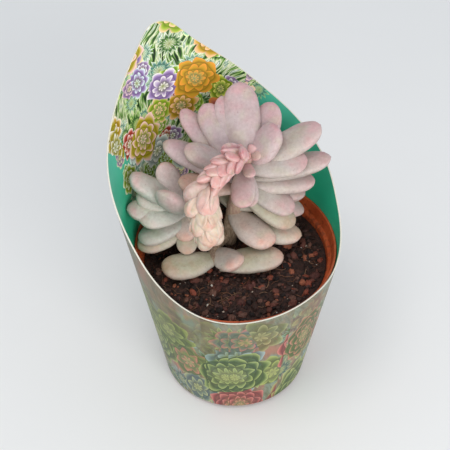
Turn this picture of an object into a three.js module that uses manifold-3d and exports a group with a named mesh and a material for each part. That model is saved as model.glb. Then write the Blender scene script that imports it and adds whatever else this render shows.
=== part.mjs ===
// A fat-leaved succulent in a plastic nursery pot, wrapped in a card sleeve with a tall pointed back.
// Millimetres, +Z up. The origin is the middle of the pot's base, on the surface that it stands on.
// +Y points to the sleeve's tall back. A turn is an angle in degrees about +Z from +X,
// and a lift is an angle in degrees above the horizontal.

import * as THREE from 'three';
import { mergeVertices } from 'three/addons/utils/BufferGeometryUtils.js';
import Module from 'manifold-3d';

const wasm = await Module();
wasm.setup();

// Driving dimensions: pieces that touch keep this clearance
const clearance = 0.3;

// Pot: a thin tapered wall with a stepped band round the rim
const potHeight = 90;
const potRimRadius = 52.4;
const potTaper = 0.167;
const potWall = 1.4;
const potFloor = 1.8;
const potFootChamfer = 1;
const bandHeight = 9;
const bandStep = 1.6;
const bandWall = 1.3;
const bandSlopeHeight = 1;
const rimRounding = 0.4;
const drainHoles = 6;
const drainHoleRadius = 4;
const drainCircleRadius = 22;
const drillLength = 4 * potFloor;
const potSides = 48;
const holeSides = 20;

// Sleeve: one sheet of card rolled to the pot's taper
const sleeveThickness = 0.8;
const sleeveFoot = 3;
const sleeveColumns = 72;

// Top edge of the sleeve as [turn, height above the pot's rim], from the point of the back round to itself
const sleeveEdge = [
  [86, 99.5], [91, 98.6], [100, 89], [112, 78.5], [125, 69.5], [140, 60.5], [155, 49], [170, 33.5],
  [184, 17.5], [200, 7], [220, 1], [250, 1.5], [280, 3], [304, 2.5], [322, 6.5], [340, 15],
  [357, 27.5], [380, 42], [397, 54], [412, 67], [430, 83.5], [441, 97], [446, 99.5],
];

// Soil: its top is roughened by two waves, each as [x rate, x shift, y rate, y shift] in radians
const soilTop = 80;
const soilRings = [8, 16, 24, 32, 40];
const soilSides = 40;
const soilRoughness = 0.42;
const soilWaves = [[0.13, 0.6, 0.11, -0.4], [0.47, 0.2, 0.52, 1.1]];

// Shoots: the stems stand upright in plain holes in the soil, then lean.
// A short low shoot grows off the main stem.
const holeDepth = 14;
const holeLength = 2 * holeDepth;
const stemSides = 10;
const stemSteps = 10;
const mainStemRadius = 4.2;
const mainStemPath = [
  [5, 12, soilTop - holeDepth], [5, 12, soilTop + 2], [8, 11, 104], [11.5, 9.7, 124], [13.5, 8.5, 138],
];
const lowStemRadius = 3;
const lowStemPath = [[5, 12, 85], [-5.5, 8.5, 86.2], [-12.5, 2.5, 87], [-14.5, -5, 87.6]];
const sideStemRadius = 3.2;
const sideStemPath = [
  [-9, 19, soilTop - holeDepth], [-9, 19, soilTop + 2], [-12, 21, 98], [-15.5, 23.5, 113],
];

// Leaves: each row is place along the stem as a height, turn, lift, length, width
const mainLeaves = [
  // Young pink leaves round the growing tip
  [137, 22, 58, 5.5, 5],
  [137, 103, 48, 6.5, 7],
  [136.5, 336, 37, 6, 6],
  [136, 167, 30, 9.5, 8.5],
  [135, 241, 7, 13, 6.5],
  // Upper whorls, seen from above
  [134, 57, 34, 40, 19],
  [132, 355, 42, 24, 18],
  [132, 327, 0, 31.5, 18],
  [132, 227, -12, 25.5, 12.5],
  [131, 241, -18, 22.5, 9.5],
  [130, 139, 22, 31.5, 15.5],
  [130, 95, 32, 37, 16],
  [130, 78, 37, 37, 13],
  [130, 348, 18, 43, 18.5],
  [128, 25, 29, 37.5, 17],
  [124, 304, -32, 31.5, 16],
  [126, 106, 26, 44, 14.5],
  [126, 332, 2, 45.5, 16],
  [124, 126, 17, 42.5, 16.5],
  // Lower whorls, drooping towards the soil
  [119, 300, -36, 35, 16],
  [123, 330, -13, 38.5, 17],
  [120, 337, -26, 37.5, 16],
  [118, 152, 13, 32, 14],
  [101, 273, -10, 28.5, 18],
  [118, 62, 12, 39, 15.5],
  [117, 329, -35, 40, 15],
  [116, 14, 6, 39, 15.5],
  [114, 93, 4, 33.5, 12.5],
  [94, 311, -9, 37, 16],
  [110, 38, 0, 36, 14.5],
  [106, 348, -12, 37.5, 17],
  [104, 75, -4, 32, 13.5],
];
const lowLeaves = [
  // Oldest leaves, lying over the soil
  [87.1, 163, 0, 28, 17],
  [86.6, 272, 12, 20, 14.5],
  [87.5, 334, -1, 34, 17],
];
const sideLeaves = [
  // Young leaves round the growing tip
  [112, 310, 51, 6, 6],
  [112.5, 44, 51, 7, 6.5],
  // Outer leaves
  [112.5, 203, 48, 20.5, 18.5],
  [112, 94, 42, 21.5, 12.5],
  [111, 138, 30, 31, 15.5],
  [109, 141, 14, 25.5, 15],
  [108, 167, 2, 26.5, 16],
  [106, 156, 9, 31.5, 15],
  [105, 219, -34, 16, 11],
  [103, 169, -18, 29.5, 15],
  [103, 100, 12, 20, 13],
  [98, 169, -15, 31.5, 14.5],
  [99, 222, -21, 20, 11],
  [96, 128, -3, 25, 13],
];

// Shape of a leaf, bract or bud. Rings are places from 0, the root, to 1, the tip. Widest is such a place.
// Root and thickness are shares of the width, and curl is the tip's rise as a share of the length. A higher
// bluntness gives a rounder tip.
const leafWidest = 0.55;
const leafUpperShare = 0.42;
const leafRings = [0, 0.2, 0.45, 0.68, 0.86, 0.96];
const bractRings = [0, 0.3, 0.6, 0.85];
const budRings = [0, 0.3, 0.58, 0.8, 0.93];
const leafShape = { thickness: 0.56, root: 0.48, curl: 0.06, bluntness: 3, sides: 8, rings: leafRings };
const bractShape = { thickness: 0.6, root: 0.6, curl: -0.05, bluntness: 1.6, sides: 6, rings: bractRings };
const budShape = { thickness: 0.85, root: 0.5, curl: -0.08, bluntness: 2, sides: 7, rings: budRings };

// Flower line: it rises from the growing tip, arches over and nods. The stalk ends where the buds begin.
// Bracts and buds sit in a spiral, between two shares of the length of the stretch that carries them.
// Splay is the lean away from that line in degrees.
const flowerLine = [
  [13.5, 8.5, 138 + clearance], [13.2, 8.2, 140.6], [8.1, 6.5, 143.2], [-0.2, 4.7, 144], [-8.5, 2.7, 143.2],
  [-14.3, 1.2, 140.6], [-18, -0.2, 135.6], [-21.3, -4.3, 129.3], [-22.7, -7.4, 123.3],
];
const budsBegin = 0.56;
const flowerSides = 8;
const flowerSteps = 12;
const stretchSamples = 30;
const goldenAngle = 137.5;
const stalkRadius = 1.9;
const bractCount = 12;
const bractLength = 18;
const bractWidth = 7.5;
const bractSplay = 25;
const bractSpan = [0.14, 0.42];
const budStemRadius = 2;
const budCount = 14;
const budLength = 15.5;
const budWidth = 11.5;
const budSplay = 40;
const budSpan = [0.06, 0.92];
const lastBudLengthLoss = 0.1;
const lastBudSplayLoss = 0.4;

// Angles and directions

const radians = THREE.MathUtils.degToRad;

function direction(turn, lift) {
  const flat = Math.cos(radians(lift));
  const x = flat * Math.cos(radians(turn));
  const y = flat * Math.sin(radians(turn));
  return new THREE.Vector3(x, y, Math.sin(radians(lift)));
}

// Solids and meshes

function solidOf(geometry) {
  const bare = geometry.clone();
  bare.deleteAttribute('normal');
  bare.deleteAttribute('uv');
  const merged = mergeVertices(bare, 1e-4);
  const mesh = new wasm.Mesh({
    numProp: 3,
    vertProperties: new Float32Array(merged.getAttribute('position').array),
    triVerts: new Uint32Array(merged.getIndex().array),
  });
  mesh.merge();
  return new wasm.Manifold(mesh);
}

function geometryOf(solid) {
  const mesh = solid.getMesh();
  const geometry = new THREE.BufferGeometry();
  geometry.setAttribute('position', new THREE.BufferAttribute(mesh.vertProperties, 3));
  geometry.setIndex(new THREE.BufferAttribute(mesh.triVerts, 1));
  geometry.computeVertexNormals();
  return geometry;
}

// Fusing leaves can seal small hollows between them. Only the outer skin is kept, which fills them.
function fuse(solids) {
  const pieces = wasm.Manifold.union(solids).decompose();
  return pieces.reduce((largest, piece) => (piece.volume() > largest.volume() ? piece : largest));
}

function finish(color, roughness) {
  return new THREE.MeshStandardMaterial({ color, roughness, metalness: 0 });
}

function part(name, geometry, material) {
  const mesh = new THREE.Mesh(geometry, material);
  mesh.name = name;
  return mesh;
}

function turned(profile, sides) {
  const points = profile.map(([radius, height]) => new THREE.Vector2(radius, height));
  return new THREE.LatheGeometry(points, sides).rotateX(Math.PI / 2);
}

function curveThrough(points) {
  return new THREE.CatmullRomCurve3(points.map((point) => new THREE.Vector3(...point)));
}

function tube(curve, radius, sides, steps) {
  const section = new THREE.Shape().absarc(0, 0, radius, 0, 2 * Math.PI);
  return new THREE.ExtrudeGeometry(section, { extrudePath: curve, steps, curveSegments: sides });
}

function upright(radius, length) {
  return new THREE.CylinderGeometry(radius, radius, length, holeSides).rotateX(Math.PI / 2);
}

// Pot

function potOuterRadius(height) {
  return potRimRadius - bandStep - potTaper * (potHeight - height);
}

function potInnerRadius(height) {
  return potOuterRadius(height) - potWall;
}

function bandOuterRadius(height) {
  return potOuterRadius(height) + bandStep;
}

function potGeometry() {
  const bandFoot = potHeight - bandHeight;
  const bandInside = bandFoot + potWall;
  const shell = turned([
    [0, 0],
    [potOuterRadius(0) - potFootChamfer, 0],
    [potOuterRadius(potFootChamfer), potFootChamfer],
    [potOuterRadius(bandFoot), bandFoot],
    [bandOuterRadius(bandFoot), bandFoot],
    [bandOuterRadius(potHeight - rimRounding), potHeight - rimRounding],
    [potRimRadius - rimRounding, potHeight],
    [potRimRadius - bandWall + rimRounding, potHeight],
    [bandOuterRadius(potHeight - rimRounding) - bandWall, potHeight - rimRounding],
    [bandOuterRadius(bandInside + bandSlopeHeight) - bandWall, bandInside + bandSlopeHeight],
    [potInnerRadius(bandInside), bandInside],
    [potInnerRadius(potFloor), potFloor],
    [0, potFloor],
  ], potSides);
  let pot = solidOf(shell);
  for (let i = 0; i < drainHoles; i += 1) {
    const place = direction(i * 360 / drainHoles, 0).multiplyScalar(drainCircleRadius);
    pot = pot.subtract(solidOf(upright(drainHoleRadius, drillLength).translate(place.x, place.y, 0)));
  }
  return geometryOf(pot);
}

// Sleeve

function sleeveInnerRadius(height) {
  return potRimRadius + clearance + potTaper * (height - potHeight);
}

// Slope of the top edge at one of its points. The first and last point are the tip of the back.
function sleeveEdgeSlope(index) {
  const [turnA, heightA] = sleeveEdge[Math.max(index - 1, 0)];
  const [turnB, heightB] = sleeveEdge[Math.min(index + 1, sleeveEdge.length - 1)];
  return (heightB - heightA) / (turnB - turnA);
}

// Height of the top edge at a turn: a smooth cubic through the edge's points
function sleeveEdgeHeight(turn) {
  const [firstTurn] = sleeveEdge[0];
  const wrapped = turn < firstTurn ? turn + 360 : turn;
  const next = sleeveEdge.findIndex(([edgeTurn]) => edgeTurn > wrapped);
  const [turnA, heightA] = sleeveEdge[next - 1];
  const [turnB, heightB] = sleeveEdge[next];
  const span = turnB - turnA;
  const share = (wrapped - turnA) / span;
  const rest = 1 - share;
  const bend = share * rest * span * (rest * sleeveEdgeSlope(next - 1) - share * sleeveEdgeSlope(next));
  const blend = share * share * (3 - 2 * share);
  return potHeight + heightA + (heightB - heightA) * blend + bend;
}

// Each column is the four corners of the card's section: inner and outer foot, outer and inner top edge.
function sleeveGeometry() {
  const [pointTurn] = sleeveEdge[0];
  const positions = [];
  const indices = [];
  const corners = 4;
  for (let column = 0; column < sleeveColumns; column += 1) {
    const turn = pointTurn + column * 360 / sleeveColumns;
    const top = sleeveEdgeHeight(turn % 360);
    const section = [
      [sleeveInnerRadius(sleeveFoot), sleeveFoot],
      [sleeveInnerRadius(sleeveFoot) + sleeveThickness, sleeveFoot],
      [sleeveInnerRadius(top) + sleeveThickness, top],
      [sleeveInnerRadius(top), top],
    ];
    for (const [radius, height] of section) {
      positions.push(radius * Math.cos(radians(turn)), radius * Math.sin(radians(turn)), height);
    }
    const here = column * corners;
    const after = ((column + 1) % sleeveColumns) * corners;
    for (let corner = 0; corner < corners; corner += 1) {
      const up = (corner + 1) % corners;
      indices.push(here + corner, after + corner, after + up);
      indices.push(here + corner, after + up, here + up);
    }
  }
  const geometry = new THREE.BufferGeometry();
  geometry.setAttribute('position', new THREE.Float32BufferAttribute(positions, 3));
  geometry.setIndex(indices);
  geometry.computeVertexNormals();
  return geometry;
}

// Soil

function soilHeight(x, y) {
  const waves = soilWaves.map(([rateX, shiftX, rateY, shiftY]) => (
    Math.sin(rateX * x + shiftX) * Math.cos(rateY * y + shiftY)
  ));
  return soilTop + soilRoughness * (waves[0] + waves[1]);
}

function stemHole([x, y], radius) {
  const foot = soilTop - holeDepth - clearance;
  return solidOf(upright(radius + clearance, holeLength).translate(x, y, foot + holeLength / 2));
}

// Rings of points from the middle of the top outwards and down to the bottom
function soilGeometry() {
  const bottom = potFloor + clearance;
  const rings = [
    ...soilRings.map((radius) => ({ radius, heightAt: soilHeight })),
    { radius: potInnerRadius(soilTop) - clearance, heightAt: () => soilTop },
    { radius: potInnerRadius(bottom) - clearance, heightAt: () => bottom },
  ];
  const positions = [0, 0, soilHeight(0, 0)];
  for (const { radius, heightAt } of rings) {
    for (let side = 0; side < soilSides; side += 1) {
      const turn = radians(side * 360 / soilSides);
      const x = radius * Math.cos(turn);
      const y = radius * Math.sin(turn);
      positions.push(x, y, heightAt(x, y));
    }
  }
  const indices = [];
  const vertex = (ring, side) => 1 + ring * soilSides + (side % soilSides);
  const last = rings.length - 1;
  const centre = positions.length / 3;
  positions.push(0, 0, bottom);
  for (let side = 0; side < soilSides; side += 1) {
    indices.push(0, vertex(0, side), vertex(0, side + 1));
    for (let ring = 0; ring < last; ring += 1) {
      indices.push(vertex(ring, side), vertex(ring + 1, side), vertex(ring + 1, side + 1));
      indices.push(vertex(ring, side), vertex(ring + 1, side + 1), vertex(ring, side + 1));
    }
    indices.push(centre, vertex(last, side + 1), vertex(last, side));
  }
  const geometry = new THREE.BufferGeometry();
  geometry.setAttribute('position', new THREE.Float32BufferAttribute(positions, 3));
  geometry.setIndex(indices);
  const soil = solidOf(geometry)
    .subtract(stemHole(mainStemPath[0], mainStemRadius))
    .subtract(stemHole(sideStemPath[0], sideStemRadius));
  return geometryOf(soil);
}

// Leaves

// Share of the full width at a place from 0, the root, to 1, the tip
function leafBreadth(place, { root, bluntness }) {
  if (place < leafWidest) {
    return root + (1 - root) * Math.sin(Math.PI / 2 * place / leafWidest);
  }
  return Math.sqrt(1 - ((place - leafWidest) / (1 - leafWidest)) ** bluntness);
}

// A leaf lies along +X with its upper face towards +Z. Its section is an oval, flatter above than below.
function leafSolid(length, width, shape, pose) {
  const { curl, sides, rings } = shape;
  const thickness = width * shape.thickness;
  const positions = [];
  const indices = [];
  for (const place of rings) {
    const breadth = leafBreadth(place, shape);
    for (let side = 0; side < sides; side += 1) {
      const angle = 2 * Math.PI * side / sides;
      const share = Math.sin(angle) > 0 ? leafUpperShare : 1 - leafUpperShare;
      const across = width / 2 * breadth * Math.cos(angle);
      const rise = curl * length * place * place + thickness * share * breadth * Math.sin(angle);
      positions.push(length * place, across, rise);
    }
  }
  const tip = positions.length / 3;
  positions.push(length, 0, curl * length);
  const rootCentre = tip + 1;
  positions.push(0, 0, 0);
  const lastRing = (rings.length - 1) * sides;
  for (let side = 0; side < sides; side += 1) {
    const next = (side + 1) % sides;
    for (let ring = 0; ring < lastRing; ring += sides) {
      indices.push(ring + side, ring + sides + next, ring + sides + side);
      indices.push(ring + side, ring + next, ring + sides + next);
    }
    indices.push(lastRing + side, lastRing + next, tip);
    indices.push(rootCentre, next, side);
  }
  const geometry = new THREE.BufferGeometry();
  geometry.setAttribute('position', new THREE.Float32BufferAttribute(positions, 3));
  geometry.setIndex(indices);
  geometry.applyMatrix4(pose);
  return solidOf(geometry);
}

// Pose of a leaf that starts at a point and grows along a direction, with its upper face turned upwards
function leafPose(start, along) {
  const side = new THREE.Vector3(-along.y, along.x, 0).normalize();
  const up = new THREE.Vector3().crossVectors(along, side);
  return new THREE.Matrix4().makeBasis(along, side, up).setPosition(start);
}

// The point where a stem's centre line passes a height
function stemPoint(curve, height) {
  let low = 0;
  let high = 1;
  for (let step = 0; step < 30; step += 1) {
    const middle = (low + high) / 2;
    if (curve.getPoint(middle).z < height) {
      low = middle;
    } else {
      high = middle;
    }
  }
  return curve.getPoint(low);
}

// A shoot's stem with its leaves. A leaf that points up starts nearer the stem's side, which frees the tip.
function shootSolids(stemPath, stemRadius, leaves) {
  const curve = curveThrough(stemPath);
  const solids = [solidOf(tube(curve, stemRadius, stemSides, stemSteps))];
  for (const [height, turn, lift, length, width] of leaves) {
    const inset = stemRadius * Math.max(0, Math.sin(radians(lift)));
    const start = stemPoint(curve, height).addScaledVector(direction(turn, 0), inset);
    solids.push(leafSolid(length, width, leafShape, leafPose(start, direction(turn, lift))));
  }
  return solids;
}

function mainRosetteGeometry() {
  return geometryOf(fuse([
    ...shootSolids(mainStemPath, mainStemRadius, mainLeaves),
    ...shootSolids(lowStemPath, lowStemRadius, lowLeaves),
  ]));
}

function sideRosetteGeometry() {
  return geometryOf(fuse(shootSolids(sideStemPath, sideStemRadius, sideLeaves)));
}

// Flower stalk and buds

// Pose of a bract or bud that leans out from a curve by a splay, at a turn about the curve
function splayedPose(curve, place, turn, splay) {
  const along = curve.getTangentAt(place);
  const across = new THREE.Vector3().crossVectors(along, new THREE.Vector3(0, 0, 1)).normalize();
  const over = new THREE.Vector3().crossVectors(across, along);
  const outward = across.multiplyScalar(Math.cos(radians(turn)));
  outward.addScaledVector(over, Math.sin(radians(turn)));
  const heading = along.clone().multiplyScalar(Math.cos(radians(splay)));
  heading.addScaledVector(outward, Math.sin(radians(splay))).normalize();
  const side = new THREE.Vector3().crossVectors(outward, heading).normalize();
  const up = new THREE.Vector3().crossVectors(heading, side);
  return new THREE.Matrix4().makeBasis(heading, side, up).setPosition(curve.getPointAt(place));
}

// The stretch of a curve between two shares of its length
function stretch(curve, from, to) {
  const points = [];
  for (let i = 0; i <= stretchSamples; i += 1) {
    points.push(curve.getPointAt(from + (to - from) * i / stretchSamples));
  }
  return new THREE.CatmullRomCurve3(points);
}

function stalkGeometry() {
  const curve = stretch(curveThrough(flowerLine), 0, budsBegin);
  const solids = [solidOf(tube(curve, stalkRadius, flowerSides, flowerSteps))];
  for (let i = 0; i < bractCount; i += 1) {
    const place = THREE.MathUtils.lerp(...bractSpan, i / (bractCount - 1));
    const pose = splayedPose(curve, place, i * goldenAngle, bractSplay);
    solids.push(leafSolid(bractLength, bractWidth, bractShape, pose));
  }
  return geometryOf(fuse(solids));
}

function budsGeometry() {
  const line = curveThrough(flowerLine);
  const curve = stretch(line, budsBegin + clearance / line.getLength(), 1);
  const solids = [solidOf(tube(curve, budStemRadius, flowerSides, flowerSteps))];
  for (let i = 0; i < budCount; i += 1) {
    const share = i / (budCount - 1);
    const place = THREE.MathUtils.lerp(...budSpan, share);
    const pose = splayedPose(curve, place, i * goldenAngle, budSplay * (1 - lastBudSplayLoss * share));
    solids.push(leafSolid(budLength * (1 - lastBudLengthLoss * share), budWidth, budShape, pose));
  }
  return geometryOf(fuse(solids));
}

// The whole object

const plant = new THREE.Group();
plant.add(
  part('main_rosette', mainRosetteGeometry(), finish('#c4b6b6', 0.75)),
  part('side_rosette', sideRosetteGeometry(), finish('#bfb9ae', 0.75)),
  part('flower_stalk', stalkGeometry(), finish('#e0a0a0', 0.6)),
  part('flower_buds', budsGeometry(), finish('#ecd2bd', 0.6)),
);

const pottedSucculent = new THREE.Group();
pottedSucculent.add(
  part('pot', potGeometry(), finish('#b9532d', 0.5)),
  part('soil', soilGeometry(), finish('#3d2721', 0.95)),
  part('sleeve', sleeveGeometry(), finish('#1f9a78', 0.45)),
  plant,
);

export default pottedSucculent;
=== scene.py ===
from collections import namedtuple
from math import atan2, cos, degrees, hypot, pi, radians, sin, sqrt

import bmesh
import bpy
import numpy as np
from mathutils import Euler, Matrix, Vector, noise


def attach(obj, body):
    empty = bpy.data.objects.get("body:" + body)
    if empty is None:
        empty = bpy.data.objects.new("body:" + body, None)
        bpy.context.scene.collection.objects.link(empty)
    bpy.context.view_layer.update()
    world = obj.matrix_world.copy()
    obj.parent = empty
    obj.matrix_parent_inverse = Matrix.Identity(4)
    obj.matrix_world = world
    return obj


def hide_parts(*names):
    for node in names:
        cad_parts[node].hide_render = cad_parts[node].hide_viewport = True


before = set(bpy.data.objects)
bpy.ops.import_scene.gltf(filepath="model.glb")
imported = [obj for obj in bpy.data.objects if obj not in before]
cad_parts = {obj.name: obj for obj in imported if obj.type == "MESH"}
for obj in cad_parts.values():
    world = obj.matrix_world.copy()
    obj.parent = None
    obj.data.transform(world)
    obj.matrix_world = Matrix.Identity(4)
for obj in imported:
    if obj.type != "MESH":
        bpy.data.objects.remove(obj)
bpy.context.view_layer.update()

# Sizes are in millimetres until a mesh is made. A turn is in degrees about +Z from +X, and a lift is in
# degrees above the horizontal. The origin is the middle of the pot's base. +Y points to the sleeve's back.
MM = 0.001
CLEARANCE = 0.3
GOLDEN_ANGLE = 137.5

POT_HEIGHT = 90
POT_RIM_RADIUS = 52.4
POT_TAPER = 0.167
POT_WALL = 1.4
POT_FLOOR = 1.8
POT_FOOT_CHAMFER = 1
POT_ROUNDING = 0.5
BAND_HEIGHT = 9
BAND_STEP = 1.6
BAND_WALL = 1.3
BAND_SLOPE = 1
DRAIN_HOLES = 6
DRAIN_HOLE_RADIUS = 4
DRAIN_CIRCLE_RADIUS = 22

SLEEVE_THICKNESS = 0.8
SLEEVE_FOOT = 3
BACK_TURN = 86
# Waves of the card round the pot, and how deep they are 100 mm up
SLEEVE_RIPPLES = 5
SLEEVE_RIPPLE = 0.25
# The glued flap, as a turn and its width in degrees, and how far it stands proud
SEAM_TURN = 213.5
SEAM_WIDTH = 15
SEAM_LAP = 0.35
# Half round of the card's top edge, and the radius that it is unrolled at
CARD_BEVEL = 0.22
CARD_RADIUS = 60
# Top edge of the sleeve: turn, and height above the pot's rim, from the point of the back round to itself
SLEEVE_EDGE = [
    (86, 99.5), (91, 98.6), (100, 89), (112, 78.5), (125, 69.5), (140, 60.5), (155, 49), (170, 33.5),
    (184, 17.5), (200, 7), (220, 1), (250, 1.5), (280, 3), (304, 2.5), (322, 6.5), (340, 15),
    (357, 27.5), (380, 42), (397, 54), (412, 67), (430, 83.5), (441, 97), (446, 99.5),
]

SOIL_TOP = 80
STEM_DEPTH = 14
STEM_FOOT = SOIL_TOP - STEM_DEPTH
MAIN_STEM_RADIUS = 4.2
MAIN_STEM = [(5, 12, STEM_FOOT), (5, 12, SOIL_TOP + 2), (8, 11, 104), (11.5, 9.7, 124), (13.5, 8.5, 138)]
LOW_STEM_RADIUS = 3
LOW_STEM = [(5, 12, 85), (-5.5, 8.5, 86.2), (-12.5, 2.5, 87), (-14.5, -5, 87.6)]
SIDE_STEM_RADIUS = 3.2
SIDE_STEM = [(-9, 19, STEM_FOOT), (-9, 19, SOIL_TOP + 2), (-12, 21, 98), (-15.5, 23.5, 113)]

# Leaves: height along the stem, turn, lift, length, width, tone
MAIN_LEAVES = [
    (137, 22, 58, 5.5, 5, "rose"), (137, 103, 48, 6.5, 7, "rose"), (136.5, 336, 37, 6, 6, "rose"),
    (136, 167, 30, 9.5, 8.5, "rose"), (135, 241, 7, 13, 6.5, "rose"),
    (134, 57, 34, 40, 19, "mauve"), (132, 355, 42, 24, 18, "mauve"), (132, 327, 0, 31.5, 18, "sage"),
    (132, 227, -12, 25.5, 12.5, "blush"), (131, 241, -18, 22.5, 9.5, "haze"),
    (130, 139, 22, 31.5, 15.5, "haze"), (130, 95, 32, 37, 16, "mauve"), (130, 78, 37, 37, 13, "mauve"),
    (130, 348, 18, 43, 18.5, "sage"), (128, 25, 29, 37.5, 17, "mauve"), (124, 304, -32, 31.5, 16, "sage"),
    (126, 106, 26, 44, 14.5, "mauve"), (126, 332, 2, 45.5, 16, "sage"), (124, 126, 17, 42.5, 16.5, "mauve"),
    (119, 300, -36, 35, 16, "olive"), (123, 330, -13, 38.5, 17, "haze"), (120, 337, -26, 37.5, 16, "haze"),
    (118, 152, 13, 32, 14, "tan"), (101, 273, -10, 28.5, 18, "dusk"),
    (118, 62, 12, 39, 15.5, "mauve"), (117, 329, -35, 40, 15, "haze"), (116, 14, 6, 39, 15.5, "sage"),
    (114, 93, 4, 33.5, 12.5, "mauve"), (94, 311, -9, 37, 16, "cream"), (110, 38, 0, 36, 14.5, "sage"),
    (106, 348, -12, 37.5, 17, "olive"), (104, 75, -4, 32, 13.5, "olive"),
]
LOW_LEAVES = [
    (87.1, 163, 0, 28, 17, "olive"), (86.6, 272, 12, 20, 14.5, "dusk"), (87.5, 334, -1, 34, 17, "olive"),
]
SIDE_LEAVES = [
    (112, 310, 51, 6, 6, "haze"), (112.5, 44, 51, 7, 6.5, "haze"), (112.5, 203, 48, 20.5, 18.5, "frost"),
    (112, 94, 42, 21.5, 12.5, "veil_and_painted_light"), (111, 138, 30, 31, 15.5, "frost"), (109, 141, 14, 25.5, 15, "frost"),
    (108, 167, 2, 26.5, 16, "frost"), (106, 156, 9, 31.5, 15, "frost"), (105, 219, -34, 16, 11, "dusk"),
    (103, 169, -18, 29.5, 15, "frost"), (103, 100, 12, 20, 13, "haze"), (98, 169, -15, 31.5, 14.5, "olive"),
    (99, 222, -21, 20, 11, "olive"), (96, 128, -3, 25, 13, "olive"),
]
# A leaf's widest place, from 0, the root, to 1, the tip, and the share of its thickness above the middle
LEAF_WIDEST = 0.55
LEAF_UPPER_SHARE = 0.42
# Thickness and root are shares of the width, curl is the tip's rise as a share of the length, and a higher
# bluntness gives a rounder tip
Shape = namedtuple("Shape", "thickness root curl bluntness")
LEAF_SHAPE = Shape(0.56, 0.48, 0.06, 3)
BRACT_SHAPE = Shape(0.6, 0.6, -0.05, 1.6)
BUD_SHAPE = Shape(0.85, 0.5, -0.08, 2)
SEPAL_SHAPE = Shape(0.34, 0.7, -0.05, 1.7)

# The flower's line rises from the growing tip, arches over and nods. The stalk ends where the buds begin.
FLOWER_LINE = [
    (13.5, 8.5, 138 + CLEARANCE), (13.2, 8.2, 140.6), (8.1, 6.5, 143.2), (-0.2, 4.7, 144),
    (-8.5, 2.7, 143.2), (-14.3, 1.2, 140.6), (-18, -0.2, 135.6), (-21.3, -4.3, 129.3), (-22.7, -7.4, 123.3),
]
BUDS_BEGIN = 0.56
STALK_RADIUS = 1.9
SCALE_COUNT = 26
SCALE_LENGTH = 18
SCALE_WIDTH = 7.6
SCALE_SPLAY = 25
SCALE_SPAN = (0.1, 0.8)
LAST_SCALE_LENGTH_LOSS = 0.15
BUD_STEM_RADIUS = 1.9
BUD_COUNT = 14
BUD_LENGTH = 15.5
BUD_WIDTH = 11.5
BUD_SPLAY = 40
BUD_SPAN = (0.06, 0.92)
LAST_BUD_LENGTH_LOSS = 0.1
LAST_BUD_SPLAY_LOSS = 0.4
SEPALS = 3


def linear(code):
    """Linear red, green and blue of a colour written as a hex code."""
    parts = [int(code[i:i + 2], 16) / 255 for i in (1, 3, 5)]
    return np.array([part / 12.92 if part < 0.04045 else ((part + 0.055) / 1.055) ** 2.4 for part in parts])


# Tone of a leaf: its body, and its tip where the sun has flushed it
# The dusk, cream and veil tones are pale partly from the leaves' own colour and partly as painted light that
# lifts leaves under the upper rosette out of their shade.
TONES = {
    "rose": ("#d6a3a2", "#d08389"),
    "blush": ("#c7a5a2", "#d08c8c"),
    "mauve": ("#bfa5a6", "#d2969a"),
    "sage": ("#b4a99e", "#d2999a"),
    "haze": ("#bcada6", "#cf9a97"),
    "dusk": ("#dac6ba", "#e6a68e"),
    "olive": ("#b0ab8c", "#cb977a"),
    "tan": ("#d2aa98", "#d8957e"),
    "cream": ("#d3ccb4", "#e0ac94"),
    "frost": ("#c8cabd", "#d9aaa6"),
    "veil_and_painted_light": ("#e6d6d2", "#e8b4b2"),
}
PALE_GREEN = linear("#bcb996")
PALE_RIM = linear("#e6d6d0")
# What a leaf's colour is multiplied by near its root
ROOT_TINGE = np.array([0.95, 1.04, 0.92])


# Vectors and lines

def direction(turn, lift):
    flat = cos(radians(lift))
    return np.array([flat * cos(radians(turn)), flat * sin(radians(turn)), sin(radians(lift))])


def unit(vector):
    return vector / np.linalg.norm(vector)


def smoothstep(low, high, value):
    share = np.clip((value - low) / (high - low), 0, 1)
    return share * share * (3 - 2 * share)


def mixed(a, b, share):
    return a + (b - a) * share


class Line:
    """A line of many close points, read by the share of its length."""

    def __init__(self, points):
        self.points = np.array(points)
        gaps = np.linalg.norm(np.diff(self.points, axis=0), axis=1)
        self.reach = np.concatenate([[0], np.cumsum(gaps)])
        self.length = self.reach[-1]

    def read(self, value, scale):
        """The point where a scale along the line has a value."""
        return np.array([np.interp(value, scale, self.points[:, k]) for k in range(3)])

    def at(self, share):
        return self.read(share * self.length, self.reach)

    def at_height(self, height):
        return self.read(height, self.points[:, 2])

    def heading(self, share):
        low, high = max(share - 0.01, 0), min(share + 0.01, 1)
        return unit(self.at(high) - self.at(low))

    def stretch(self, start, end, count=60):
        """The part of this line between two shares of its length."""
        return Line([self.at(share) for share in np.linspace(start, end, count)])


def smooth_line(points, steps=24):
    """A smooth line through points."""
    given = [np.array(point, float) for point in points]
    given = [2 * given[0] - given[1], *given, 2 * given[-1] - given[-2]]
    dense = []
    for a, b, c, d in zip(given, given[1:], given[2:], given[3:]):
        before, here, after = (sqrt(np.linalg.norm(q - p)) for p, q in ((a, b), (b, c), (c, d)))
        leave = here * ((b - a) / before - (c - a) / (before + here) + (c - b) / here)
        arrive = here * ((c - b) / here - (d - b) / (here + after) + (d - c) / after)
        for t in np.arange(steps) / steps:
            blend = t * t * (3 - 2 * t)
            bend = t * (1 - t) * ((1 - t) * leave - t * arrive)
            dense.append(b + (c - b) * blend + bend)
    return Line([*dense, given[-2]])


# Meshes

def mesh_of(name, points, faces):
    """A mesh whose points are given in millimetres."""
    mesh = bpy.data.meshes.new(name)
    mesh.from_pydata((np.asarray(points, float) * MM).tolist(), [], faces)
    return mesh


def linked(name, data):
    """A new object of a mesh, a light or a camera, in the scene."""
    obj = bpy.data.objects.new(name, data)
    bpy.context.scene.collection.objects.link(obj)
    return obj


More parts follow.
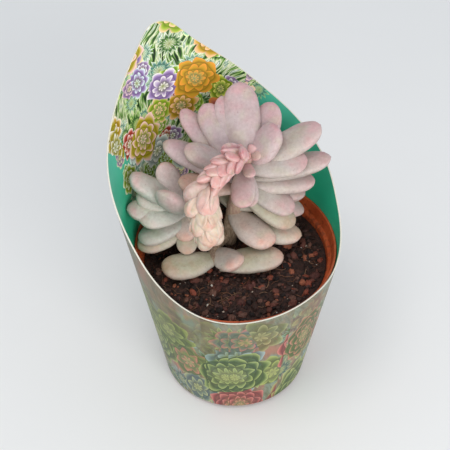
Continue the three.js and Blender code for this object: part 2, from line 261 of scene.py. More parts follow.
class Skin:
    """Gathers the closed surfaces of one piece, with a tint for each point."""

    def __init__(self):
        self.points = []
        self.faces = []
        self.tints = []
        self.count = 0

    def add(self, points, faces, tint):
        points = np.asarray(points, float)
        self.points.append(points)
        self.faces += [[corner + self.count for corner in face] for face in faces]
        self.tints.append(np.broadcast_to(tint, points.shape))
        self.count += len(points)

    def tube(self, centres, radii, sides, tint):
        """A tube with closed rounded ends, along the points of a line."""
        centres = np.asarray(centres, float)
        radii = np.broadcast_to(radii, len(centres))
        along = np.gradient(centres, axis=0)
        along /= np.linalg.norm(along, axis=1)[:, None]
        across = unit(np.cross(along[0], [0.3, 0.9, 0.2]))
        rings = []
        for centre, radius, ahead in zip(centres, radii, along):
            across = unit(across - ahead * (across @ ahead))
            up = np.cross(ahead, across)
            turns = 2 * pi * np.arange(sides) / sides
            rings.append(centre + radius * (np.outer(np.cos(turns), across) + np.outer(np.sin(turns), up)))
        rings = np.array(rings)
        dome = 0.4
        first = centres[0] - along[0] * radii[0] * dome
        last = centres[-1] + along[-1] * radii[-1] * dome
        points = np.concatenate([[first], rings.reshape(-1, 3), [last]])
        if np.ndim(tint) == 2:
            tint = np.concatenate([tint[:1], np.repeat(tint, sides, axis=0), tint[-1:]])
        self.add(points, capped_rings(len(centres), sides), tint)

    def piece(self, name, material, node, slot, smooth=True):
        mesh = mesh_of(name, np.concatenate(self.points), self.faces)
        tints = np.concatenate(self.tints)
        tints = np.concatenate([tints, np.ones((len(tints), 1))], axis=1)
        layer = mesh.color_attributes.new("tint", "FLOAT_COLOR", "POINT")
        layer.data.foreach_set("color", tints.astype(np.float32).ravel())
        finished_piece(name, mesh, [material], node, smooth)


def finished_piece(name, mesh, materials, node, smooth=True, crease=None):
    """Makes a mesh's object, which may stand for a node. Edges are sharp from the angle of its crease."""
    mesh.validate()
    mesh.update()
    if smooth:
        mesh.shade_smooth()
    if crease:
        mesh.set_sharp_from_angle(angle=radians(crease))
    for material in materials:
        mesh.materials.append(material)
    piece = linked(name, mesh)
    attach(piece, "root")
    if node:
        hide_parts(node)


def capped_rings(rings, sides):
    """Faces of a stack of rings between two poles: point 0, then the rings, then the last point."""
    faces = []
    last = 1 + rings * sides
    for side in range(sides):
        after = (side + 1) % sides
        faces.append((0, 1 + after, 1 + side))
        for ring in range(rings - 1):
            low = 1 + ring * sides
            high = low + sides
            faces.append((low + side, low + after, high + after, high + side))
        top = 1 + (rings - 1) * sides
        faces.append((top + side, top + after, last))
    return faces


# Materials

class Paint:
    """A material built from nodes, with short calls for the nodes used here."""

    def __init__(self, name, **settings):
        self.material = bpy.data.materials.new(name)
        self.material.use_nodes = True
        self.tree = self.material.node_tree
        self.shader = self.tree.nodes["Principled BSDF"]
        for key, value in settings.items():
            self.set(key.replace("_", " "), value)

    def set(self, socket, value):
        names = {name.name.lower(): name for name in self.shader.inputs}
        self.feed(names[socket.lower()], value)

    def feed(self, socket, value):
        """Links a socket, or sets its value. A colour is a hex code."""
        if isinstance(value, bpy.types.NodeSocket):
            self.tree.links.new(value, socket)
        elif isinstance(value, str):
            socket.default_value = (*linear(value), 1)
        else:
            socket.default_value = value

    def node(self, kind, **inputs):
        node = self.tree.nodes.new(kind)
        for key, value in inputs.items():
            self.feed(node.inputs[key], value)
        return node

    def place(self):
        """Position in millimetres."""
        return self.scaled(self.node("ShaderNodeTexCoord").outputs["Object"], (1 / MM,) * 3)

    def sheet_place(self):
        """Place on the unrolled card in millimetres: across from the back's middle, and height."""
        uv = self.node("ShaderNodeUVMap")
        uv.uv_map = "card"
        return self.scaled(uv.outputs["UV"], (1 / MM,) * 3)

    def worked(self, kind, operation, values):
        node = self.node(kind)
        node.operation = operation
        for socket, value in zip(node.inputs, values):
            self.feed(socket, value)
        return node.outputs[0]

    def math(self, operation, *values):
        return self.worked("ShaderNodeMath", operation, values)

    def vector(self, operation, *values):
        return self.worked("ShaderNodeVectorMath", operation, values)

    def scaled(self, vector, factors):
        return self.vector("MULTIPLY", vector, factors)

    def plus(self, a, b):
        return self.math("ADD", a, b)

    def minus(self, a, b):
        return self.math("SUBTRACT", a, b)

    def times(self, a, b):
        return self.math("MULTIPLY", a, b)

    def sloped(self, value, slope, start):
        """The value times the slope, plus the start."""
        return self.math("MULTIPLY_ADD", value, slope, start)

    def split(self, vector):
        return self.node("ShaderNodeSeparateXYZ", Vector=vector).outputs

    def joined(self, x, y, z=0):
        return self.node("ShaderNodeCombineXYZ", X=x, Y=y, Z=z).outputs[0]

    def noise(self, vector, size, detail=3, roughness=0.55):
        """Noise from 0 to 1, whose patches are about size across."""
        settings = {"Scale": 1 / size, "Detail": detail, "Roughness": roughness}
        return self.node("ShaderNodeTexNoise", Vector=vector, **settings).outputs["Fac"]

    def band(self, value, low, high):
        """0 below low, 1 above high, and smooth between them. Low may be the larger one."""
        node = self.node("ShaderNodeMapRange", **{"Value": value, "From Min": low, "From Max": high})
        node.interpolation_type = "SMOOTHSTEP"
        return node.outputs["Result"]

    def mix(self, share, a, b, mode="MIX"):
        node = self.node("ShaderNodeMix", Factor=share)
        node.data_type = "RGBA"
        node.blend_type = mode
        node.clamp_factor = True
        sockets = [socket for socket in node.inputs if socket.type == "RGBA"]
        self.feed(sockets[0], a)
        self.feed(sockets[1], b)
        return next(socket for socket in node.outputs if socket.type == "RGBA")

    def ramp(self, share, codes, start, step, interpolation="LINEAR"):
        """Colours that follow each other along the range from 0 to 1, a step apart."""
        node = self.node("ShaderNodeValToRGB", Fac=share)
        elements = node.color_ramp.elements
        node.color_ramp.interpolation = interpolation
        while len(elements) < len(codes):
            elements.new(1)
        for index, code in enumerate(codes):
            elements[index].position = start + index * step
            elements[index].color = (*linear(code), 1)
        return node.outputs["Color"]

    def palette(self, share, codes):
        """One of several colours, each with an equal part of the range from 0 to 1."""
        codes = codes.split()
        return self.ramp(share, codes, 0, 1 / len(codes), "CONSTANT")

    def tint(self):
        node = self.node("ShaderNodeVertexColor")
        node.layer_name = "tint"
        return node.outputs["Color"]

    def finish(self, colour, roughness, height, depth):
        """Sets the surface. The height's full range is a bump of depth in millimetres."""
        self.set("Base Color", colour)
        self.set("Roughness", roughness)
        bump = self.node("ShaderNodeBump", Height=height, Distance=depth * MM)
        self.set("Normal", bump.outputs["Normal"])
        return self.material


def waxy_leaf():
    """Fleshy skin under a powdery bloom that is thinner in rubbed patches."""
    paint = Paint(
        "waxy_leaf", subsurface_weight=0.08, subsurface_scale=0.0014, subsurface_radius=(1, 0.55, 0.4),
        specular_ior_level=0.32,
    )
    place = paint.place()
    cloud = paint.noise(place, 8, detail=4)
    bloom = paint.band(cloud, 0.34, 0.66)
    fine = paint.band(paint.noise(place, 1.6, detail=4), 0.3, 0.7)
    skin = paint.mix(paint.times(fine, 0.26), paint.tint(), "#a98a80", "MULTIPLY")
    dusty = paint.mix(paint.sloped(bloom, 0.2, 0.12), skin, "#d6cfca")
    rubbed = paint.band(paint.noise(paint.vector("ADD", place, (31, 7, 5)), 1.3, detail=3), 0.64, 0.72)
    dusty = paint.mix(paint.times(rubbed, 0.42), dusty, "#96706a")
    specks = paint.band(paint.noise(place, 0.7, detail=2), 0.68, 0.75)
    dusty = paint.mix(paint.times(specks, 0.3), dusty, "#efe8e2")
    height = paint.plus(paint.noise(place, 1.1), paint.times(cloud, 1.2))
    return paint.finish(dusty, paint.sloped(bloom, 0.16, 0.48), height, 0.14)


def waxy_flower():
    paint = Paint(
        "waxy_flower", subsurface_weight=0.2, subsurface_scale=0.0014, subsurface_radius=(1, 0.5, 0.35),
        specular_ior_level=0.35,
    )
    place = paint.place()
    bloom = paint.band(paint.noise(place, 2.4, detail=4), 0.38, 0.7)
    dusty = paint.mix(paint.times(bloom, 0.3), paint.tint(), "#f4e4da")
    flecks = paint.band(paint.noise(place, 0.6, detail=2), 0.62, 0.74)
    dusty = paint.mix(paint.times(flecks, 0.22), dusty, "#c4746a")
    return paint.finish(dusty, paint.sloped(bloom, 0.18, 0.5), paint.noise(place, 0.8), 0.14)


def bark_stem():
    paint = Paint("bark_stem", specular_ior_level=0.25)
    grain = paint.noise(paint.scaled(paint.place(), (1, 1, 0.35)), 0.9, detail=5)
    bark = paint.mix(paint.band(grain, 0.35, 0.7), paint.tint(), "#b09a83")
    return paint.finish(bark, 0.8, grain, 0.35)


def pot_plastic():
    paint = Paint("pot_plastic", specular_ior_level=0.45, subsurface_weight=0.05, subsurface_scale=0.001)
    place = paint.place()
    x, y, z = paint.split(place)
    streaks = paint.noise(paint.joined(x, y, paint.times(z, 0.06)), 3.5, detail=4)
    plain = paint.mix(paint.band(streaks, 0.3, 0.75), "#b24c26", "#c86236")
    dirt = paint.noise(place, 2.6, detail=6, roughness=0.7)
    splash = paint.band(paint.plus(dirt, paint.times(z, -0.012)), -0.52, -0.4)
    stained = paint.mix(paint.times(splash, 0.55), plain, "#4a2a1d")
    roughness = paint.sloped(paint.band(dirt, 0.3, 0.7), 0.22, 0.34)
    height = paint.plus(streaks, paint.times(paint.noise(place, 0.5), 0.5))
    return paint.finish(stained, roughness, height, 0.12)


def damp_soil():
    paint = Paint("damp_soil", specular_ior_level=0.4)
    place = paint.place()
    lumps = paint.noise(place, 2.4, detail=7, roughness=0.7)
    grit = paint.noise(place, 0.7, detail=4)
    earth = paint.mix(paint.band(lumps, 0.35, 0.68), "#231511", "#4a2e25")
    earth = paint.mix(paint.times(paint.band(grit, 0.56, 0.72), 0.6), earth, "#6a4335")
    roughness = paint.sloped(paint.band(lumps, 0.4, 0.7), 0.3, 0.6)
    return paint.finish(earth, roughness, paint.plus(lumps, paint.times(grit, 0.5)), 1.2)


def soil_bits():
    paint = Paint("soil_bits", specular_ior_level=0.4)
    grain = paint.noise(paint.place(), 0.6, detail=5)
    dark = paint.times(paint.band(grain, 0.4, 0.7), 0.5)
    colour = paint.mix(dark, paint.tint(), "#1a0f0b")
    return paint.finish(colour, paint.sloped(grain, 0.3, 0.55), grain, 0.4)


def rosette_print(paint, sheet, size, petals, rings, cut, fills, edges, seed):
    """Printed rosettes scattered over the card: their colour, a mask of where they are, and their middles.

    Cut is the depth and the power of the notches between the petals. A power of 1 gives pointed petals.
    """
    shift = (seed, 1.7 * seed, 0)
    swirl = paint.node("ShaderNodeTexNoise", Vector=sheet, Scale=1 / (0.3 * size), Detail=1)
    wobble = paint.vector("SUBTRACT", swirl.outputs["Color"], (0.5, 0.5, 0.5))
    wobble = paint.scaled(wobble, (0.16 * size,) * 3)
    moved = paint.vector("ADD", paint.vector("ADD", sheet, wobble), shift)
    cells = paint.node("ShaderNodeTexVoronoi", Vector=moved, Scale=1 / size, Randomness=0.8)
    cells.voronoi_dimensions = "2D"
    middle = cells.outputs["Position"]
    chance, chance2, chance3 = paint.node("ShaderNodeSeparateColor", Color=cells.outputs["Color"]).outputs
    x, y, _ = paint.split(paint.vector("SUBTRACT", moved, middle))
    wide = paint.times(x, paint.sloped(chance2, 0.4, 0.8))
    away = paint.math("SQRT", paint.plus(paint.times(wide, wide), paint.times(y, y)))
    radius = paint.sloped(chance3, 0.16 * size, 0.46 * size)
    start = paint.times(chance, 9)
    turn = paint.sloped(paint.math("ARCTAN2", y, wide), petals / (2 * pi), start)
    count = paint.times(paint.math("POWER", paint.math("DIVIDE", away, radius), 0.85), rings)
    ring = paint.math("FLOOR", count)
    inside = paint.math("FRACT", count)
    twisted = paint.math("FRACT", paint.sloped(ring, 0.5, turn))
    side = paint.times(paint.math("ABSOLUTE", paint.minus(twisted, 0.5)), 2)
    depth, power = cut
    reach = paint.sloped(paint.math("POWER", side, power), -depth, 1)
    under = paint.math("GREATER_THAN", inside, reach)
    share = paint.math("DIVIDE", inside, reach)
    light = paint.sloped(paint.math("POWER", share, 0.8), 0.9, 0.28)
    light = paint.times(light, paint.sloped(paint.math("POWER", side, 4), -0.35, 1))
    light = paint.times(light, paint.sloped(under, -0.6, 1))
    fill = paint.palette(chance, fills)
    edge = paint.palette(chance2, edges)
    heart = paint.mix(paint.band(count, 0.6 * rings, 0), fill, "#cfd98f")
    flushed = paint.times(paint.band(share, 0.3, 1), paint.minus(0.85, under))
    bright = paint.mix(flushed, heart, edge)
    grey = paint.node("ShaderNodeCombineColor", Red=light, Green=light, Blue=light).outputs[0]
    colour = paint.mix(1, bright, grey, "MULTIPLY")
    mask = paint.math("LESS_THAN", paint.plus(ring, under), rings - 0.5)
    return colour, mask, paint.split(paint.vector("SUBTRACT", middle, shift))


def add_rosettes(paint, sheet, colour, layer, within, gaps, strength=1):
    """Prints a layer of rosettes on a colour. Within masks their middles, and gaps leaves some out."""
    motif, mask, (x, y, _) = rosette_print(paint, sheet, *layer)
    size = layer[0]
    kept = paint.math("GREATER_THAN", paint.noise(paint.joined(x, y), 0.9 * size, detail=0), gaps)
    present = paint.times(paint.times(mask, within(x, y)), kept)
    return paint.mix(paint.times(present, strength), colour, motif)


def strap_leaves(paint, sheet, size, codes, seed):
    """Printed narrow leaves that fill the gaps between the rosettes."""
    moved = paint.vector("ADD", sheet, (seed, seed, 0))
    sway = paint.noise(moved, 11 * size, detail=1)
    x, y, _ = paint.split(moved)
    lean = paint.sloped(sway, 10 * size, paint.sloped(y, 0.45, x))
    rise = paint.sloped(x, -0.35, y)
    straps = paint.noise(paint.joined(lean, paint.times(rise, 0.16)), size, detail=2)
    codes = codes.split()
    return paint.ramp(straps, codes, 0.34, 0.34 / (len(codes) - 1))


def card_finish(paint, colour):
    return paint.finish(colour, 0.42, paint.noise(paint.place(), 0.6, detail=3), 0.03)


def inner_print():
    """A bank of printed rosettes on the back of the card, on a plain teal ground."""
    paint = Paint("inner_print", specular_ior_level=0.4)
    sheet = paint.sheet_place()
    _, height, _ = paint.split(sheet)
    ground = paint.mix(paint.band(height, 95, 160), "#30c496", "#66d3b8")
    ground = paint.mix(paint.times(paint.noise(sheet, 14), 0.25), ground, "#158a66")

    def bank(across, rise, foot=14):
        """1 inside the bank's outline, whose half width grows with height from what it is at the foot."""
        half = paint.sloped(rise, 0.23, foot)
        return paint.band(paint.minus(paint.math("ABSOLUTE", across), half), 0.5, -0.5)

    ragged = paint.vector("ADD", sheet, paint.joined(paint.times(paint.noise(sheet, 4), 9), 0))
    x, y, _ = paint.split(ragged)
    greens = "#10200f #2f5428 #7fae52 #f4f3d0 #4f8f6c #fbfaf2"
    colour = paint.mix(bank(x, y, 8), ground, strap_leaves(paint, sheet, 1.9, greens, 3))
    # Layers from the back: size, petals, rings, cut, fills, edges, seed
    layers = (
        (13, 13, 2, (0.95, 1), "#4f8a3c #9fd0b4 #86b84c #6fae9c", "#f4f8e0 #fdfdf8 #d8ee90", 5),
        (11, 7, 3, (0.6, 2), "#e2553f #9fd9c4 #a8d838 #c8a4d8", "#ffe0d2 #f8fff4 #eefaa8", 40),
        (17, 8, 3, (0.65, 2), "#b8dc34 #f0c02c #e8f8ee #e8543f #c09ee0",
         "#fffaf0 #ffc9a8 #fff08a #e6fff0", 11),
        (25, 8, 4, (0.7, 1.6), "#f08072 #e0cc2c #c4f0dc #d8c4ee #9fd04c #f4bc34",
         "#fdfdfd #f29a3c #ffd0dc #f4ffc4", 209),
    )
    for layer in layers:
        colour = add_rosettes(paint, sheet, colour, layer, bank, 0.46)
    return card_finish(paint, colour)


def outer_print():
    """Large soft rosettes low on the outside of the card, on a wash of soft colours."""
    paint = Paint("outer_print", specular_ior_level=0.4)
    sheet = paint.sheet_place()
    _, height, _ = paint.split(sheet)
    wash = paint.noise(paint.scaled(sheet, (1, 0.3, 1)), 7, detail=5)
    ground = paint.mix(paint.band(wash, 0.3, 0.7), "#6a5f4a", "#94836c")
    streaked = paint.scaled(sheet, (1, 0.55, 1))
    cool = paint.band(paint.noise(streaked, 15, detail=4), 0.47, 0.62)
    ground = paint.mix(paint.times(cool, 0.8), ground, "#9dbbb0")
    warm = paint.band(paint.noise(paint.vector("ADD", streaked, (70, 9, 0)), 17, detail=4), 0.5, 0.64)
    ground = paint.mix(paint.times(warm, 0.75), ground, "#c98a78")
    greens = "#46502f #6d7a48 #7c9384 #a9ad88 #9a6456"
    clumps = paint.times(paint.band(paint.noise(sheet, 22), 0.35, 0.65), 0.6)
    colour = paint.mix(clumps, ground, strap_leaves(paint, sheet, 2.4, greens, 19))
    # Layers from the back: size, petals, rings, cut, fills, edges, seed, and the height that they reach
    layers = (
        (21, 12, 2, (0.95, 1), "#3f7f7c #5f8a44 #7f9fb0", "#a9cfc8 #c4d292 #c9dae0", 23, 86),
        (32, 7, 3, (0.7, 1.5), "#6f8f2c #b8434a #87a04c #76989f", "#b9c96c #e88580 #cfd594 #b0cdd2", 58, 84),
        (44, 9, 5, (0.75, 1.3), "#5f8422 #4f7a34 #b8434a", "#a9bd50 #b9cc7c #e88f88", 91, 72),
    )
    for *layer, top in layers:
        def low(_, rise, top=top):
            return paint.band(rise, top, top - 14)

        colour = add_rosettes(paint, sheet, colour, layer, low, 0.4, 0.9)
    haze = paint.sloped(paint.band(height, 45, 92), 0.2, 0.04)
    faded = paint.mix(haze, colour, "#8b7d64")
    # Painted shade: the whole outer print is multiplied darker, as the outside of the card stands in shade.
    return card_finish(paint, paint.mix(1, faded, "#dcd8d0", "MULTIPLY"))


def card_edge():
    paint = Paint("card_edge", specular_ior_level=0.3)
    fibres = paint.noise(paint.place(), 0.5, detail=3)
    return paint.finish(paint.mix(fibres, "#c9c4b2", "#efece0"), 0.8, fibres, 0.05)


def floor_paint():
    paint = Paint("floor_paint", roughness=0.7, specular_ior_level=0.2)
    paint.set("Base Color", paint.mix(paint.noise(paint.place(), 160), "#edece9", "#f2f1ee"))
    return paint.material


# Pot

def pot_outer_radius(height):
    return POT_RIM_RADIUS - BAND_STEP - POT_TAPER * (POT_HEIGHT - height)


def pot_inner_radius(height):
    return pot_outer_radius(height) - POT_WALL


def rounded(profile, radius, steps=4):
    """The profile with its corners rounded, except at its two ends."""
    points = [Vector(point) for point in profile]
    result = [points[0]]
    for before, corner, after in zip(points, points[1:], points[2:]):
        back, ahead = before - corner, after - corner
        cut = min(radius, 0.45 * back.length, 0.45 * ahead.length)
        start, end = corner + back.normalized() * cut, corner + ahead.normalized() * cut
        for step in range(steps + 1):
            t = step / steps
            result.append(start.lerp(corner, t).lerp(corner.lerp(end, t), t))
    result.append(points[-1])
    return result


def drill_mesh():
    """One upright rod for each drain hole."""
    drills = bmesh.new()
    radius = DRAIN_HOLE_RADIUS * MM
    for index in range(DRAIN_HOLES):
        place = direction(index * 360 / DRAIN_HOLES, 0) * DRAIN_CIRCLE_RADIUS * MM
        bmesh.ops.create_cone(
            drills, cap_ends=True, segments=40, radius1=radius, radius2=radius, depth=4 * POT_FLOOR * MM,
            matrix=Matrix.Translation(place),
        )
    mesh = bpy.data.meshes.new("drills")
    drills.to_mesh(mesh)
    drills.free()
    return mesh


def make_pot(material):
    foot = POT_HEIGHT - BAND_HEIGHT
    inside = foot + POT_WALL
    profile = rounded([
        (0, 0),
        (pot_outer_radius(0) - POT_FOOT_CHAMFER, 0),
        (pot_outer_radius(POT_FOOT_CHAMFER), POT_FOOT_CHAMFER),
        (pot_outer_radius(foot), foot),
        (pot_outer_radius(foot) + BAND_STEP, foot),
        (POT_RIM_RADIUS, POT_HEIGHT),
        (POT_RIM_RADIUS - BAND_WALL, POT_HEIGHT),
        (pot_outer_radius(inside + BAND_SLOPE) + BAND_STEP - BAND_WALL, inside + BAND_SLOPE),
        (pot_inner_radius(inside), inside),
        (pot_inner_radius(POT_FLOOR), POT_FLOOR),
        (0, POT_FLOOR),
    ], POT_ROUNDING)
    sides = 160
    turns = 2 * pi * np.arange(sides) / sides
    circle = np.stack([np.cos(turns), np.sin(turns), 0 * turns], 1)
    rings = [circle * r + (0, 0, z) for r, z in profile[1:-1]]
    points = np.concatenate([[(0, 0, 0)], *rings, [(0, 0, POT_FLOOR)]])
    body = linked("pot_body", mesh_of("pot_wall", points, capped_rings(len(rings), sides)))
    drill = linked("drills", drill_mesh())
    cut = body.modifiers.new("drain", "BOOLEAN")
    cut.operation = "DIFFERENCE"
    cut.solver = "MANIFOLD"
    cut.object = drill
    bpy.context.view_layer.update()
    holed = bpy.data.meshes.new_from_object(body.evaluated_get(bpy.context.evaluated_depsgraph_get()))
    bpy.data.objects.remove(body)
    bpy.data.objects.remove(drill)
    holed.materials.clear()
    finished_piece("pot_shell", holed, [material], "pot", crease=50)


# Sleeve

def sleeve_inner_radius(height):
    return POT_RIM_RADIUS + CLEARANCE + POT_TAPER * (height - POT_HEIGHT)


def sleeve_edge_slope(index):
    turn_a, height_a = SLEEVE_EDGE[max(index - 1, 0)]
    turn_b, height_b = SLEEVE_EDGE[min(index + 1, len(SLEEVE_EDGE) - 1)]
    return (height_b - height_a) / (turn_b - turn_a)


def sleeve_edge_height(turn):
    """Height of the sleeve's top edge at a turn: a smooth cubic through the edge's points."""
    first = SLEEVE_EDGE[0][0]
    wrapped = (turn - first) % 360 + first
    after = next(i for i, (edge_turn, _) in enumerate(SLEEVE_EDGE) if edge_turn > wrapped)
    turn_a, height_a = SLEEVE_EDGE[after - 1]
    turn_b, height_b = SLEEVE_EDGE[after]
    span = turn_b - turn_a
    share = (wrapped - turn_a) / span
    rest = 1 - share
    bend = share * rest * span * (rest * sleeve_edge_slope(after - 1) - share * sleeve_edge_slope(after))
    return POT_HEIGHT + height_a + (height_b - height_a) * share * share * (3 - 2 * share) + bend


def card_across(offset):
    """Distance over the unrolled card to an offset in degrees from the middle of the back."""
    return radians(offset) * CARD_RADIUS


def unroll(mesh, corners):
    """Gives each face corner its place on the unrolled card."""
    card = mesh.uv_layers.new(name="card")
    card.data.foreach_set("uv", (np.array(corners) * MM).ravel())


def turned(section, turn):
    """An upright section, given as radius and height, at a turn about the pot's middle."""
    return [direction(turn, 0) * r + (0, 0, z) for r, z in section]


def sleeve_section(turn, rows):
    """The card's section at a turn: up the inner face, over the top edge and down the outer face."""
    top = sleeve_edge_height(turn)
    heights = np.linspace(SLEEVE_FOOT, top - CARD_BEVEL, rows)
    ripple = SLEEVE_RIPPLE * sin(radians(SLEEVE_RIPPLES * turn)) * ((heights - SLEEVE_FOOT) / 100) ** 2
    inner = [(sleeve_inner_radius(z) + wave, z) for z, wave in zip(heights, ripple)]
    outer = [(r + SLEEVE_THICKNESS, z) for r, z in inner]
    lip = [(inner[-1][0] + CARD_BEVEL, top), (outer[-1][0] - CARD_BEVEL, top)]
    return turned([*inner, *lip, *reversed(outer)], turn)


def card_slot(row, rows):
    """Material of a strip of the section: 0 is the inner print, 1 the outer print and 2 the bare edge."""
    if row < rows - 1:
        return 0
    if rows + 1 < row < 2 * rows + 1:
        return 1
    return 2


def strip_faces(here, after, ring):
    """Faces between two neighbouring sections, given by their first points."""
    ups = [(row, (row + 1) % ring) for row in range(ring)]
    return [(here + row, here + up, after + up, after + row) for row, up in ups]


def make_sleeve(materials):
    columns = 432
    rows = 44
    step = 360 / columns
    sections = [sleeve_section(BACK_TURN + column * step, rows) for column in range(columns)]
    ring = len(sections[0])
    points = np.array(sections).reshape(-1, 3)
    faces, slots, corners = [], [], []
    for column in range(columns):
        offset = column * step if column < columns // 2 else column * step - 360
        near, far = card_across(offset), card_across(offset + step)
        here, after = column * ring, (column + 1) % columns * ring
        strip = strip_faces(here, after, ring)
        faces += strip
        slots += [card_slot(row, rows) for row in range(ring)]
        for face in strip:
            corners += [(across, points[corner][2]) for across, corner in zip((near, near, far, far), face)]
    mesh = mesh_of("card_sleeve", points, faces)
    mesh.polygons.foreach_set("material_index", slots)
    unroll(mesh, corners)
    finished_piece("card_sleeve", mesh, materials, "sleeve", crease=35)


def make_seam(materials):
    """The glued flap: the end of the card laps over its start on the outside."""
    columns = 24
    rows = 30
    sunk = 0.1
    foot = SLEEVE_FOOT + 0.3
    below_edge = 0.6
    print_shift = 6
    points = []
    for turn in np.linspace(SEAM_TURN, SEAM_TURN + SEAM_WIDTH, columns):
        heights = np.linspace(foot, sleeve_edge_height(turn) - below_edge, rows)
        under = [(sleeve_inner_radius(z) + SLEEVE_THICKNESS - sunk, z) for z in heights]
        over = [(r + sunk + SEAM_LAP, z) for r, z in under]
        points += turned([*under, *reversed(over)], turn)
    faces = []
    ring = 2 * rows
    last = (columns - 1) * ring
    for here in range(0, last, ring):
        faces += strip_faces(here, here + ring, ring)
    for row in range(rows - 1):
        back = ring - 1 - row
        faces.append((row, back, back - 1, row + 1))
        faces.append((last + row, last + row + 1, last + back - 1, last + back))
    mesh = mesh_of("card_seam", points, faces)
    corners = []
    for loop in mesh.loops:
        x, y, z = points[loop.vertex_index]
        offset = (degrees(atan2(y, x)) - BACK_TURN + 180) % 360 - 180
        corners.append((card_across(offset) + print_shift, z))
    unroll(mesh, corners)
    finished_piece("card_seam", mesh, materials, None, crease=35)


# Soil

def soil_height(x, y):
    """Crumbly top of the soil, level with the wall where it meets the pot."""
    place = Vector((x, y, 4))
    rough = 1.1 * noise.fractal(place * 0.09, 0.9, 2.0, 4) + 0.8 * noise.fractal(place * 0.35, 0.8, 2.1, 4)
    edge = smoothstep(48.5, 42, hypot(x, y))
    return SOIL_TOP + 0.9 * rough * (0.35 + 0.65 * edge)


def make_soil(material):
    sides = 220
    radii = np.linspace(0, pot_inner_radius(SOIL_TOP) - CLEARANCE, 84)[1:]
    bottom = POT_FLOOR + CLEARANCE
    points = [(0, 0, bottom)]
    turns = 2 * pi * np.arange(sides) / sides
    foot_radius = pot_inner_radius(bottom) - CLEARANCE
    points += [(foot_radius * cos(turn), foot_radius * sin(turn), bottom) for turn in turns]
    for radius in radii[::-1]:
        for turn in turns:
            x, y = radius * cos(turn), radius * sin(turn)
            points.append((x, y, soil_height(x, y)))
    points.append((0, 0, soil_height(0, 0)))
    mesh = mesh_of("soil_bed", points, capped_rings(1 + len(radii), sides))
    finished_piece("soil_bed", mesh, [material], "soil")


def lump_shape():
    """A unit ball of 42 points, which crumbs are squeezed from."""
    ball = bmesh.new()
    bmesh.ops.create_icosphere(ball, subdivisions=2, radius=1)
    points = np.array([point.co for point in ball.verts])
    faces = [[corner.index for corner in face.verts] for face in ball.faces]
    ball.free()
    return points, faces


def scattered(draw, reach):
    """A random place on the soil, within a reach of its middle."""
    away, turn = reach * sqrt(draw.random()), 2 * pi * draw.random()
    return away * cos(turn), away * sin(turn)


def free_of_stems(x, y, gap):
    stems = ((MAIN_STEM[0], MAIN_STEM_RADIUS), (SIDE_STEM[0], SIDE_STEM_RADIUS))
    return all(hypot(x - foot[0], y - foot[1]) > radius + gap for foot, radius in stems)


def make_crumbs(material):
    """Crumbs, bark bits and pale grit that lie on the soil."""
    draw = np.random.default_rng(11)
    ball, faces = lump_shape()
    # Kinds: how many, smallest, largest, colours
    kinds = (
        (900, 0.5, 1.9, ["#2a1812", "#3a231b", "#48302a", "#1d120f"]),
        (320, 0.7, 2.4, ["#5c332b", "#6f4034", "#6d4a3d"]),
        (110, 0.6, 2.2, ["#8a4632", "#9a5a40"]),
        (80, 0.3, 0.7, ["#c9b7a4", "#e2d9cd", "#a8998b"]),
    )
    skin = Skin()
    reach = pot_inner_radius(SOIL_TOP) - 2.5
    for count, smallest, largest, codes in kinds:
        for _ in range(count):
            x, y = scattered(draw, reach)
            size = smallest + (largest - smallest) * draw.random() ** 2
            if not free_of_stems(x, y, size + 0.4):
                continue
            stretch = size * draw.uniform((0.8, 0.6, 0.4), (1.5, 1.1, 0.9))
            lumps = ball * stretch * draw.uniform(0.78, 1.15, (len(ball), 1))
            spin = np.array(Euler(draw.uniform((-0.6, -0.6, 0), (0.6, 0.6, 2 * pi))).to_matrix())
            place = (x, y, soil_height(x, y) + 0.25 * size)
            tint = linear(codes[draw.integers(len(codes))]) * draw.uniform(0.8, 1.2)
            skin.add(lumps @ spin.T + place, faces, tint)
    skin.piece("soil_crumbs", material, None, "potting_soil", smooth=False)


def make_fibres(material):
    """Fine peat and coir fibres that curl over the soil."""
    draw = np.random.default_rng(23)
    codes = ["#6b4430", "#7f553c", "#4a3024", "#8d6a50"]
    skin = Skin()
    reach = pot_inner_radius(SOIL_TOP) - 4
    for _ in range(150):
        x, y = scattered(draw, reach)
        ahead, bend = 2 * pi * draw.random(), draw.normal(0, 0.14)
        stride = 0.9
        path = []
        for _ in range(draw.integers(6, 13)):
            if hypot(x, y) > reach or not free_of_stems(x, y, 1):
                break
            path.append((x, y, soil_height(x, y) + 0.35 + 0.5 * draw.random()))
            x, y = x + stride * cos(ahead), y + stride * sin(ahead)
            ahead += bend + draw.normal(0, 0.15)
        if len(path) > 3:
            thickness = draw.uniform(0.1, 0.24)
            skin.tube(path, thickness, 5, linear(codes[draw.integers(len(codes))]))
    skin.piece("soil_fibres", material, None, "potting_soil")


# Leaves

def leaf_breadth(place, shape):
    """Share of the full width at a place from 0, the root, to 1, the tip."""
    if place < LEAF_WIDEST:
        return shape.root + (1 - shape.root) * sin(pi / 2 * place / LEAF_WIDEST)
    return sqrt(max(0, 1 - ((place - LEAF_WIDEST) / (1 - LEAF_WIDEST)) ** shape.bluntness))


def leaf_places(count, bluntness):
    """Places along a leaf, closer together where its tip rounds over."""
    lower = np.linspace(0.01, LEAF_WIDEST, count // 2, endpoint=False)
    swing = np.linspace(0, pi / 2, count - count // 2 + 1)[:-1]
    upper = LEAF_WIDEST + (1 - LEAF_WIDEST) * np.sin(swing) ** (2 / bluntness)
    return np.concatenate([lower, upper])


